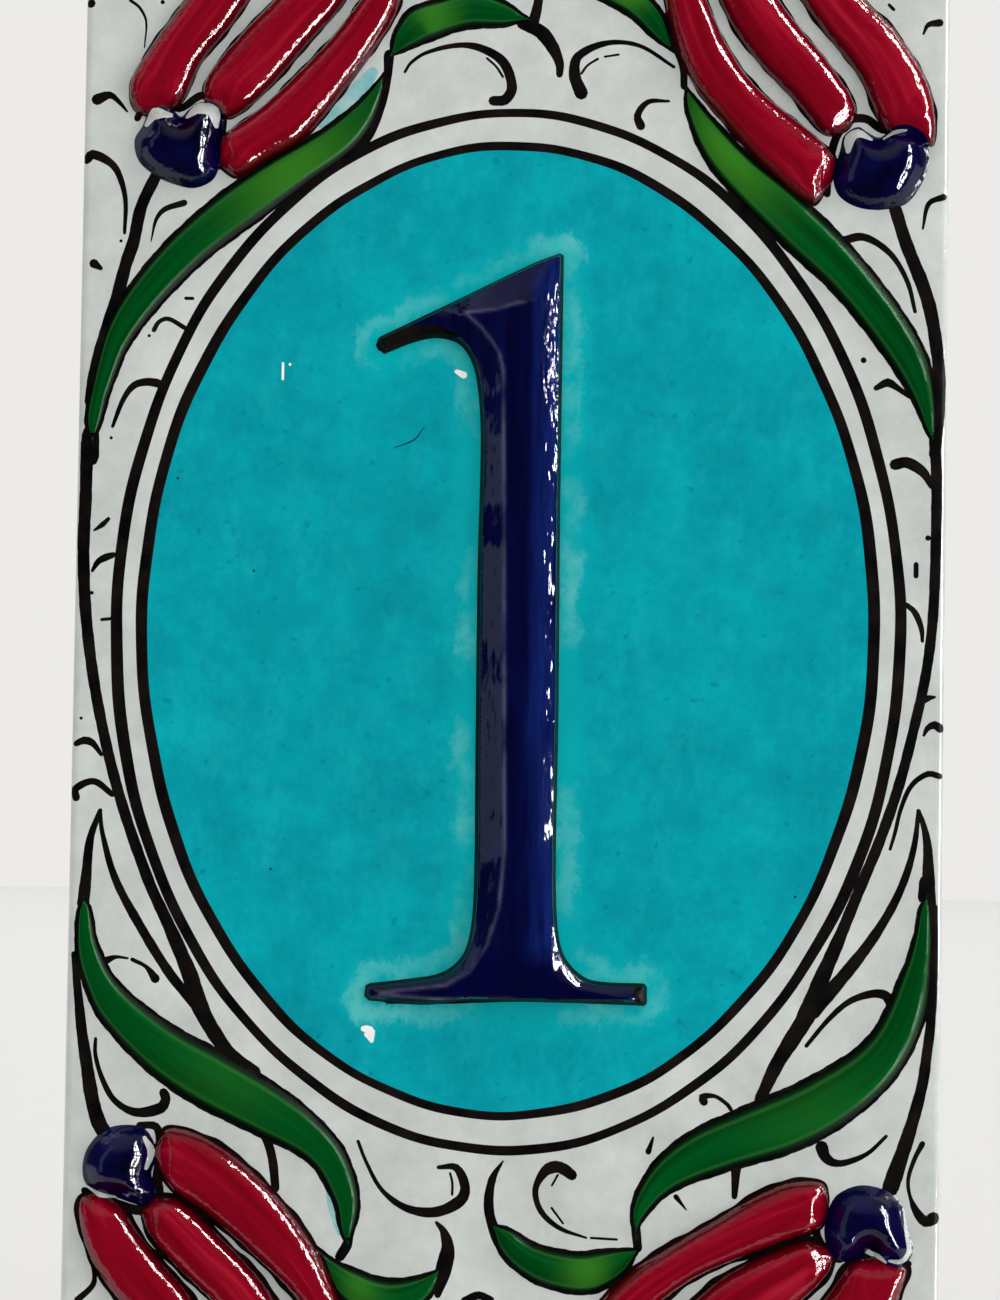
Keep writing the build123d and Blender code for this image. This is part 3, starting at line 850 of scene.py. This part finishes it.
def add_detail(drawing, forms, numeral):
    """Add the lines and points that carry the relief, the numeral's pale surround and the ground."""
    fine = lattice(RELIEF_STEP)
    for loop, _ in forms:
        drawing.crease(loop)
        within = fine[inside(fine, loop)]
        drawing.scatter(within[distance_to(within, closed(loop)) > RELIEF_MARGIN])
    drawing.crease(numeral_ridge())
    drawing.crease(numeral + normals_of(numeral) * -NUMERAL_FOOT_WIDTH)
    middling = lattice(HALO_STEP)
    around = middling[~inside(middling, numeral)]
    around = around[np.all(np.abs(around) < HALO_FIELD, axis=1)]
    away = distance_to(around, closed(numeral))
    drawing.scatter(around[(away > HALO_MARGIN) & (away < HALO_REACH)])
    coarse = lattice(GROUND_STEP)
    drawing.scatter(coarse[edge_distance(coarse) > GROUND_MARGIN])


def measure_front(points, forms):
    """Height of every front point, and what the glazes need to know about it."""
    relief = Relief(len(points))
    for loop, measure in forms:
        within = np.flatnonzero(inside(points, loop))
        found = measure(points[within])
        higher = found.height > relief.height[within]
        for name, values in vars(found).items():
            getattr(relief, name)[within[higher]] = values[higher]
    edge = np.clip(edge_distance(points), 0, ARRIS_RADIUS)
    relief.height -= ARRIS_RADIUS - np.sqrt(ARRIS_RADIUS**2 - (ARRIS_RADIUS - edge) ** 2)
    relief.halo = distance_to(points, closed(numeral_outline()))
    return relief


def back_drawing():
    """The back with its keying grooves, each with a drafted wall."""
    drawing = Drawing(tile_outline(), BISCUIT)
    for centre in GROOVE_CENTRES:
        for draft in (0, GROOVE_DRAFT):
            half = np.array([GROOVE_WIDTH / 2, GROOVE_LENGTH / 2]) - draft
            drawing.fill((centre, 0) + np.array(CORNERS) * half, BISCUIT)
    coarse = lattice(BACK_STEP)
    drawing.scatter(coarse[edge_distance(coarse) > BACK_MARGIN])
    return drawing


def back_depths(points):
    """How deep each back point lies below the flat back."""
    depth = np.zeros(len(points))
    for centre in GROOVE_CENTRES:
        past = np.abs(points - (centre, 0)) - (GROOVE_WIDTH / 2, GROOVE_LENGTH / 2)
        depth = np.maximum(depth, np.clip(-past.max(axis=1) / GROOVE_DRAFT, 0, 1) * GROOVE_DEPTH)
    return depth


def forward(points, depth):
    """Points of a drawing set in the tile's frame, this far in front of the flat back."""
    return np.stack([points[:, 0], np.zeros(len(points)) - depth, points[:, 1]], axis=1)


def side_faces(first, count):
    """Faces between the three rings of points down the tile's sides, and the paint on each."""
    faces = []
    paints = []
    for level, paint in ((0, WHITE), (1, BISCUIT)):
        here = first + level * count
        there = here + count
        for i in range(count):
            after = (i + 1) % count
            faces.append([here + i, there + i, there + after, here + after])
            paints.append(paint)
    return faces, paints


def build_tile(materials):
    """The whole tile as one closed mesh."""
    forms = relief_forms()
    front, front_faces, front_paints = paint_front(forms).triangulate()
    relief = measure_front(front, forms)
    back, back_faces, back_paints = back_drawing().triangulate()
    rim = tile_outline()
    places = [forward(front, BODY_THICKNESS + relief.height), forward(back, back_depths(back))]
    for level in (BODY_THICKNESS - ARRIS_RADIUS, BODY_THICKNESS - GLAZE_RUN, 0):
        places.append(forward(rim, level))
    faces, paints = side_faces(len(front) + len(back), len(rim))
    faces = [*front_faces.tolist(), *(back_faces[:, ::-1] + len(front)).tolist(), *faces]
    mesh = bpy.data.meshes.new("glazed_tile")
    mesh.from_pydata((np.vstack(places) * MM).tolist(), [], faces)
    mesh.polygons.foreach_set("material_index", np.array([*front_paints, *back_paints, *paints], np.int32))
    mesh.polygons.foreach_set("use_smooth", np.ones(len(faces), bool))
    for name in ("inset", "edge", "patch", "side", "brush", "halo"):
        store(mesh, name, "FLOAT", "value", getattr(relief, name))
    store(mesh, "flow", "FLOAT_VECTOR", "vector", relief.flow)
    weld(mesh)
    for material in materials:
        mesh.materials.append(material)
    tile = bpy.data.objects.new("glazed_tile", mesh)
    bpy.context.scene.collection.objects.link(tile)
    return tile


def store(mesh, name, kind, field, values):
    """Store values for the front points, which come first, on the mesh."""
    padded = np.zeros((len(mesh.vertices), values.size // len(values)), np.float32)
    padded[: len(values)] = values.reshape(len(values), -1)
    mesh.attributes.new(name, kind, "POINT").data.foreach_set(field, padded.ravel())


def weld(mesh):
    """Join the front, back and sides along their shared edges."""
    work = bmesh.new()
    work.from_mesh(mesh)
    bmesh.ops.remove_doubles(work, verts=work.verts, dist=WELD_DISTANCE * MM)
    work.to_mesh(mesh)
    work.free()
    mesh.set_sharp_from_angle(angle=math.radians(SHARP_ANGLE))


def linear(level):
    """A display value from 0 to 255, as a linear one from 0 to 1."""
    share = level / 255
    return share / 12.92 if share <= 0.04045 else ((share + 0.055) / 1.055) ** 2.4


def srgb(red, green, blue):
    """A colour given as display values, as linear RGBA."""
    return (linear(red), linear(green), linear(blue), 1.0)


def add_node(tree, kind, inputs=None, **settings):
    """A shader node with its settings, and its inputs given as values or as sockets to link."""
    made = tree.nodes.new(kind)
    for name, value in settings.items():
        setattr(made, name, value)
    for name, value in (inputs or {}).items():
        if isinstance(value, bpy.types.NodeSocket):
            tree.links.new(value, made.inputs[name])
        else:
            made.inputs[name].default_value = value
    return made


def noise(tree, scale, detail=3.0, roughness=0.5, stretch=(1, 1, 1)):
    """Noise fixed to the tile, with about this many features per metre, drawn out along some axes."""
    place = add_node(tree, "ShaderNodeTexCoord").outputs["Object"]
    drawn = add_node(tree, "ShaderNodeVectorMath", {0: place, 1: stretch}, operation="MULTIPLY")
    inputs = {"Vector": drawn.outputs["Vector"], "Scale": scale, "Detail": detail, "Roughness": roughness}
    return add_node(tree, "ShaderNodeTexNoise", inputs).outputs["Fac"]


def streaks(tree, scale):
    """Noise drawn out along the length of each petal and leaf."""
    flow = add_node(tree, "ShaderNodeAttribute", attribute_name="flow").outputs["Vector"]
    inputs = {"Vector": flow, "Scale": scale, "Detail": 5.0}
    return add_node(tree, "ShaderNodeTexNoise", inputs).outputs["Fac"]


def ramp(tree, value, stops, output="Color"):
    """A colour ramp from (position, colour) stops, or the alpha of its colours."""
    made = add_node(tree, "ShaderNodeValToRGB", {"Fac": value})
    elements = made.color_ramp.elements
    while len(elements) < len(stops):
        elements.new(0.5)
    for element, (position, colour) in zip(elements, stops):
        element.position = position
        element.color = colour
    return made.outputs[output]


def between(tree, value, low, high, top=1.0, bottom=0.0):
    """Value taken from the range low to high onto bottom to top, and kept there."""
    limits = {"From Min": low, "From Max": high, "To Min": bottom, "To Max": top}
    return add_node(tree, "ShaderNodeMapRange", {"Value": value, **limits}, clamp=True).outputs["Result"]


def combined(tree, operation, first, *others):
    """Values added, multiplied or otherwise combined, one after another."""
    for other in others:
        first = add_node(tree, "ShaderNodeMath", {0: first, 1: other}, operation=operation).outputs["Value"]
    return first


def mix(tree, share, first, second):
    """Two colours mixed by a share of the second."""
    return add_node(tree, "ShaderNodeMix", {0: share, 6: first, 7: second}, data_type="RGBA").outputs[2]


def attribute(tree, name):
    """A value stored on the mesh's points."""
    return add_node(tree, "ShaderNodeAttribute", attribute_name=name).outputs["Fac"]


def new_material(name):
    """A material with an empty node tree."""
    material = bpy.data.materials.new(name)
    material.use_nodes = True
    material.node_tree.nodes.clear()
    return material, material.node_tree


def surface(tree, inputs):
    """Give a material its surface."""
    made = add_node(tree, "ShaderNodeBsdfPrincipled", inputs).outputs["BSDF"]
    add_node(tree, "ShaderNodeOutputMaterial", {"Surface": made})


def bump(tree, height, depth, under=None):
    """A bump of this depth in metres, over another one if given."""
    inputs = {"Strength": 1.0, "Distance": depth, "Height": height}
    if under:
        inputs["Normal"] = under
    return add_node(tree, "ShaderNodeBump", inputs).outputs["Normal"]


def glaze(
    name, colour_of, roughness=0.07, shine=0.5, ripple=0.00007, peel=0.00001, brushed=0.0, dull_edge=0.0
):
    """A glossy glaze, coloured by a function of its node tree and uneven to the given depths in metres."""
    material, tree = new_material(name)
    if dull_edge:
        roughness = between(tree, attribute(tree, "edge"), 0.6, 0.8, dull_edge, roughness)
    uneven = bump(tree, noise(tree, RIPPLES, 2.0), ripple)
    uneven = bump(tree, noise(tree, FINE_MARKS, 2.0), peel, uneven)
    if brushed:
        streaky = noise(tree, FINE_MARKS, 1.5, stretch=(1, 1, 0.3))
        uneven = bump(tree, combined(tree, "MULTIPLY", streaky, attribute(tree, "brush")), brushed, uneven)
    looks = {"Base Color": colour_of(tree), "Roughness": roughness, "Specular IOR Level": shine}
    surface(tree, {**looks, "Normal": uneven})
    return material


def clouded(scale, detail, dark, light, roughness=0.5):
    """The colour of a glaze that goes from a dark stop to a light one in clouds."""
    return lambda tree: ramp(tree, noise(tree, scale, detail, roughness), (dark, light))


def turquoise_colour(tree):
    """Clouded and brushed turquoise, with painted light close to the numeral, and drawn back from it in
    ragged paler patches.
    """
    clouds = ramp(tree, noise(tree, 130.0, 9.0, 0.8), ((0.25, srgb(0, 126, 141)), (0.75, srgb(0, 174, 184))))
    brushed = between(tree, noise(tree, 500.0, 6.0, 0.7, stretch=(1, 1, 0.5)), 0.5, 0.8, 0.4)
    field = mix(tree, brushed, clouds, srgb(30, 186, 190))
    specks = between(tree, noise(tree, 1100.0, 3.0), 0.66, 0.76, 0.6)
    field = mix(tree, specks, field, srgb(0, 112, 134))
    halo = attribute(tree, "halo")
    # Painted light: brighter turquoise close to the numeral, against the shade of the relief
    field = mix(tree, between(tree, halo, 3.0, 0.2, 0.8), field, srgb(0, 180, 185))
    ragged = between(tree, noise(tree, 450.0, 8.0, 0.8, stretch=(1, 1, 0.7)), 0.3, 0.7, 2.4)
    edge = combined(tree, "ADD", halo, ragged)
    patchy = between(tree, noise(tree, 100.0, 6.0, 0.65), 0.44, 0.64, 0.5)
    band = combined(tree, "MULTIPLY", between(tree, edge, 0.9, 1.8), between(tree, edge, 3.2, 2.4), patchy)
    return mix(tree, band, field, srgb(112, 206, 198))


def numeral_colour(tree):
    """Cobalt brushed up and down, black at its foot; painted highlight on its left ridge, painted sheen on
    its right.
    """
    drawn = noise(tree, 900.0, 4.0, 0.6, stretch=(1, 1, 0.1))
    dark = ramp(tree, drawn, ((0.35, srgb(0, 0, 34)), (0.7, srgb(0, 2, 54))))
    light = ramp(tree, drawn, ((0.35, srgb(0, 8, 62)), (0.7, srgb(16, 36, 104))))
    # Painted sheen: lighter blue on the right side, toward the window
    body = mix(tree, attribute(tree, "side"), dark, light)
    # Painted highlight: a broken pale line along the left ridge
    broken = between(tree, noise(tree, 260.0, 3.0), 0.3, 0.6)
    painted_ridge_highlight = combined(tree, "MULTIPLY", attribute(tree, "patch"), broken)
    body = mix(tree, painted_ridge_highlight, body, srgb(78, 76, 104))
    pooled = between(tree, attribute(tree, "inset"), 0.55, 0.2)
    return mix(tree, pooled, body, srgb(2, 2, 12))


def red_colour(tree):
    """Red glaze in lengthwise streaks, dark where it pools at the foot."""
    stops = ((0.3, srgb(112, 0, 15)), (0.55, srgb(136, 2, 28)), (0.8, srgb(168, 26, 46)))
    pooled = between(tree, attribute(tree, "inset"), 0.8, 0.1)
    return mix(tree, pooled, ramp(tree, streaks(tree, 3.0), stops), srgb(66, 0, 8))


def green_colour(tree):
    """Green glaze, nearly black down its flanks beside a pale line of thin glaze and painted highlight,
    yellower in one patch.
    """
    body = ramp(tree, streaks(tree, 2.0), ((0.3, srgb(0, 52, 13)), (0.7, srgb(0, 82, 30))))
    body = mix(tree, attribute(tree, "patch"), body, srgb(66, 138, 34))
    # A pale line at the shoulder, thin glaze and painted highlight, then nearly black down the flank
    flank_with_painted_highlight = (
        (0.58, srgb(8, 96, 32), 0.0),
        (0.66, srgb(52, 120, 54), 0.3),
        (0.8, srgb(0, 40, 10), 0.85),
        (0.94, srgb(0, 12, 4), 1.0),
    )
    stops = [(position, (*colour[:3], share)) for position, colour, share in flank_with_painted_highlight]
    edge = attribute(tree, "edge")
    return mix(tree, ramp(tree, edge, stops, "Alpha"), body, ramp(tree, edge, stops))


def biscuit():
    """Bare fired clay."""
    material, tree = new_material("biscuit")
    grain = bump(tree, noise(tree, 900.0, 6.0, 0.6), BISCUIT_GRAIN)
    colour = ramp(tree, noise(tree, 140.0, 5.0), ((0.3, srgb(205, 178, 150)), (0.7, srgb(222, 200, 174))))
    surface(tree, {"Base Color": colour, "Roughness": 0.85, "Normal": grain})
    return material


def build_camera():
    """The camera, where the photograph was taken from."""
    data = bpy.data.cameras.new("camera")
    data.lens = LENS
    data.sensor_width = SENSOR_WIDTH
    data.clip_start = 0.01
    camera = bpy.data.objects.new("camera", data)
    tilt = Matrix.Rotation(math.radians(90 + CAMERA_TILT), 4, "X")
    roll = Matrix.Rotation(math.radians(CAMERA_ROLL), 4, "Z")
    camera.matrix_world = Matrix.Translation(Vector(CAMERA_PLACE) * MM) @ (tilt @ roll)
    bpy.context.scene.collection.objects.link(camera)
    bpy.context.scene.camera = camera


def area_light(name, place, size, radiance, aim=(0, 0, 0), mirrored=True, lighting=True, only=None):
    """A rectangular light of this brightness, aimed at a point: mirrored in the glazes, lighting, or both.

    It can light only the objects of one collection.
    """
    data = bpy.data.lights.new(name, "AREA")
    data.shape = "RECTANGLE"
    data.size, data.size_y = size
    data.energy = radiance * math.pi * size[0] * size[1]
    light = bpy.data.objects.new(name, data)
    light.visible_glossy = mirrored
    light.visible_diffuse = lighting
    light.light_linking.receiver_collection = only
    light.location = place
    light.rotation_euler = (Vector(aim) - Vector(place)).to_track_quat("-Z", "Y").to_euler()
    bpy.context.scene.collection.objects.link(light)


def build_lights(lit):
    """A window at the right that lights one object, panes that only show in the glazes, and soft light."""
    for column, (x, y) in enumerate(PANE_COLUMNS):
        for row, z in enumerate(PANE_ROWS):
            area_light(f"window_pane_{column}_{row}", (x, y, z), PANE_SIZE, PANE_RADIANCE, lighting=False)
    beside_window = bpy.data.collections.new("beside_window")
    beside_window.objects.link(lit)
    area_light("window", WINDOW_PLACE, size=(0.7, 0.9), radiance=2.0, mirrored=False, only=beside_window)
    area_light("ceiling", (-0.1, -0.62, 0.8), size=(1.3, 0.5), radiance=1.0, mirrored=False)
    area_light("fill", (0, -1.2, 0.1), size=(1.2, 1.2), radiance=0.42, mirrored=False)
    area_light("overhead", (0, 1.4, 1.3), size=(3.4, 2.8), radiance=0.6, aim=(0, 1.4, 0))


def grey(level):
    """A neutral colour."""
    return (level, level, level, 1)


def mirrored_room(tree):
    """The room mirrored in the glazes: dark, with a lighter ceiling and a curtain, pale behind the tile."""
    direction = add_node(tree, "ShaderNodeTexCoord").outputs["Generated"]
    axes = add_node(tree, "ShaderNodeSeparateXYZ", {"Vector": direction}).outputs
    room = mix(tree, between(tree, axes["Z"], 0.5, 0.95), grey(0.03), grey(0.4))
    folds = add_node(tree, "ShaderNodeTexNoise", {"Vector": direction, "Scale": 150.0, "Detail": 4.0})
    curtain = combined(
        tree,
        "MULTIPLY",
        between(tree, axes["Y"], -0.4, -0.34),
        between(tree, axes["Y"], -0.12, -0.2),
        between(tree, axes["X"], -0.2, -0.6),
        between(tree, axes["Z"], -0.3, -0.2),
        between(tree, folds.outputs["Fac"], 0.35, 0.65, 1.0, 0.4),
    )
    room = mix(tree, curtain, room, (0.55, 0.7, 0.8, 1))
    return mix(tree, between(tree, axes["Y"], 0.2, 0.9), room, (0.9, 0.89, 0.87, 1))


def build_world():
    """Pale all round to the camera, with the mirrored room for reflections and even light for the rest."""
    world = bpy.data.worlds.new("studio")
    world.use_nodes = True
    tree = world.node_tree
    tree.nodes.clear()
    path = add_node(tree, "ShaderNodeLightPath").outputs
    sharp = combined(tree, "MAXIMUM", path["Is Glossy Ray"], path["Is Transmission Ray"])
    seen = mix(tree, sharp, grey(0.62), mirrored_room(tree))
    seen = mix(tree, path["Is Camera Ray"], seen, (0.84, 0.83, 0.81, 1))
    background = add_node(tree, "ShaderNodeBackground", {"Color": seen}).outputs["Background"]
    add_node(tree, "ShaderNodeOutputWorld", {"Surface": background})
    bpy.context.scene.world = world


def build_floor():
    """A plain pale floor under the tile's lower end."""
    mesh = bpy.data.meshes.new("floor")
    level = -TILE_HEIGHT / 2 * MM
    left, right = -FLOOR_HALF_WIDTH, FLOOR_HALF_WIDTH
    plan = ((left, FLOOR_FRONT), (right, FLOOR_FRONT), (right, FLOOR_BACK), (left, FLOOR_BACK))
    mesh.from_pydata([(x, y, level) for x, y in plan], [], [(0, 1, 2, 3)])
    material, tree = new_material("floor")
    surface(tree, {"Base Color": (0.85, 0.84, 0.82, 1), "Roughness": 0.8})
    mesh.materials.append(material)
    floor = bpy.data.objects.new("floor", mesh)
    bpy.context.scene.collection.objects.link(floor)


# Two-toned glazes: grey tin white, deep cobalt, brown-black line, thin wash, and the white of chips and
# painted glints
white_colour = clouded(150.0, 8.0, (0.3, srgb(184, 189, 185)), (0.7, srgb(212, 216, 211)), 0.7)
cobalt_colour = clouded(400.0, 5.0, (0.35, srgb(0, 0, 28)), (0.75, srgb(8, 8, 66)))
line_colour = clouded(500.0, 4.0, (0.35, srgb(5, 4, 5)), (0.75, srgb(26, 19, 16)))
wash_colour = clouded(500.0, 4.0, (0.35, srgb(116, 184, 186)), (0.7, srgb(168, 206, 205)))
chip_and_glint_colour = clouded(900.0, 4.0, (0.3, srgb(232, 235, 232)), (0.7, srgb(250, 251, 249)))

# One material for each paint, in the order of their numbers
tile = build_tile(
    [
        glaze("white_glaze", white_colour),
        glaze("turquoise_glaze", turquoise_colour),
        glaze("cobalt_glaze", cobalt_colour, shine=0.4, ripple=0.00008, peel=0.00002),
        glaze("red_glaze", red_colour, ripple=0.00014, peel=0.00006),
        glaze("green_glaze", green_colour, 0.1, shine=0.05, ripple=0.0001, dull_edge=0.4),
        glaze("manganese_line", line_colour, 0.4, shine=0.06),
        glaze("pale_wash", wash_colour),
        glaze("numeral_glaze", numeral_colour, ripple=0.00018, brushed=0.00014),
        biscuit(),
        glaze("chip_and_glint_white", chip_and_glint_colour, 0.5),
    ]
)
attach(tile, "root")
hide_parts("plaque")

build_camera()
build_world()
build_floor()
build_lights(tile)
bpy.context.scene.view_settings.view_transform = "Standard"
